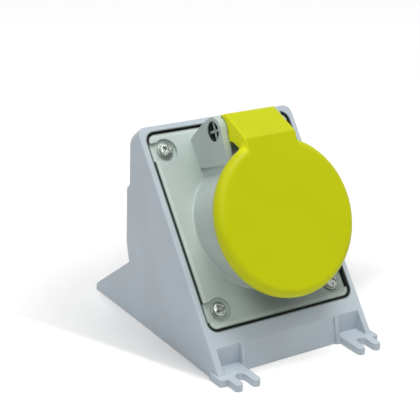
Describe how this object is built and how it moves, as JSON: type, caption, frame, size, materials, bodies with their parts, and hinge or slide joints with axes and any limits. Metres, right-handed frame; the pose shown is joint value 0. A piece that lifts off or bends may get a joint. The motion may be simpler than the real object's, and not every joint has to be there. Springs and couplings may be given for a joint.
{
  "type": "surface-mounted angled industrial socket",
  "caption": "Angled surface-mounting industrial power socket: wedge-shaped grey housing with fixing lugs, flanged round socket and sprung yellow hinged lid.",
  "frame": {"origin": "middle of the bounding box on the mounting plane, under the housing", "axes": "+Z away from the mounting surface, -Y towards the front lugs and the lid's free end, +X to the right as seen from the front"},
  "size_m": [0.0824, 0.1134, 0.0981],
  "materials": {
    "housing": "fine matt moulding, blue-grey",
    "flange": "fine matt moulding, grey with a green cast",
    "lid": "satin moulding, bright yellow",
    "carrier": "moulding, dark grey",
    "pin_plastic": "moulding, light grey",
    "gland": "satin moulding, grey",
    "gasket": "matt rubber",
    "screw_metal": "bright zinc plate",
    "spring_steel": "drawn wire",
    "contact_metal": "turned"
  },
  "bodies": {
    "base": {"housing": "housing", "flange": "flange", "flange_gasket": "gasket", "flange_screws": "screw_metal", "screw_washers": "screw_metal", "hinge_pin": "pin_plastic", "pin_clip": "spring_steel", "lid_spring": "spring_steel", "contact_carrier": "carrier", "line_contact": "contact_metal", "neutral_contact": "contact_metal", "earth_contact": "contact_metal", "contact_rings": "spring_steel", "contact_retainer": "carrier", "retainer_screw": "screw_metal", "carrier_screws": "screw_metal", "terminal_screws": "screw_metal", "gland_body": "gland", "gland_washer": "gasket", "gland_locknut": "gland", "gland_bush": "gasket", "gland_nut": "gland"},
    "lid": {"lid": "lid", "lid_seal": "gasket"}
  },
  "joints": [
    {"name": "lid_hinge", "type": "hinge", "parent": "base", "child": "lid", "pos_m": [0, -0.00059, 0.09007], "axis": [-1, 0, 0], "range_deg": [0, 110], "stiffness_Nm_per_rad": 0.03, "springref_deg": -57.3, "deforming": ["lid_spring"]}
  ]
}
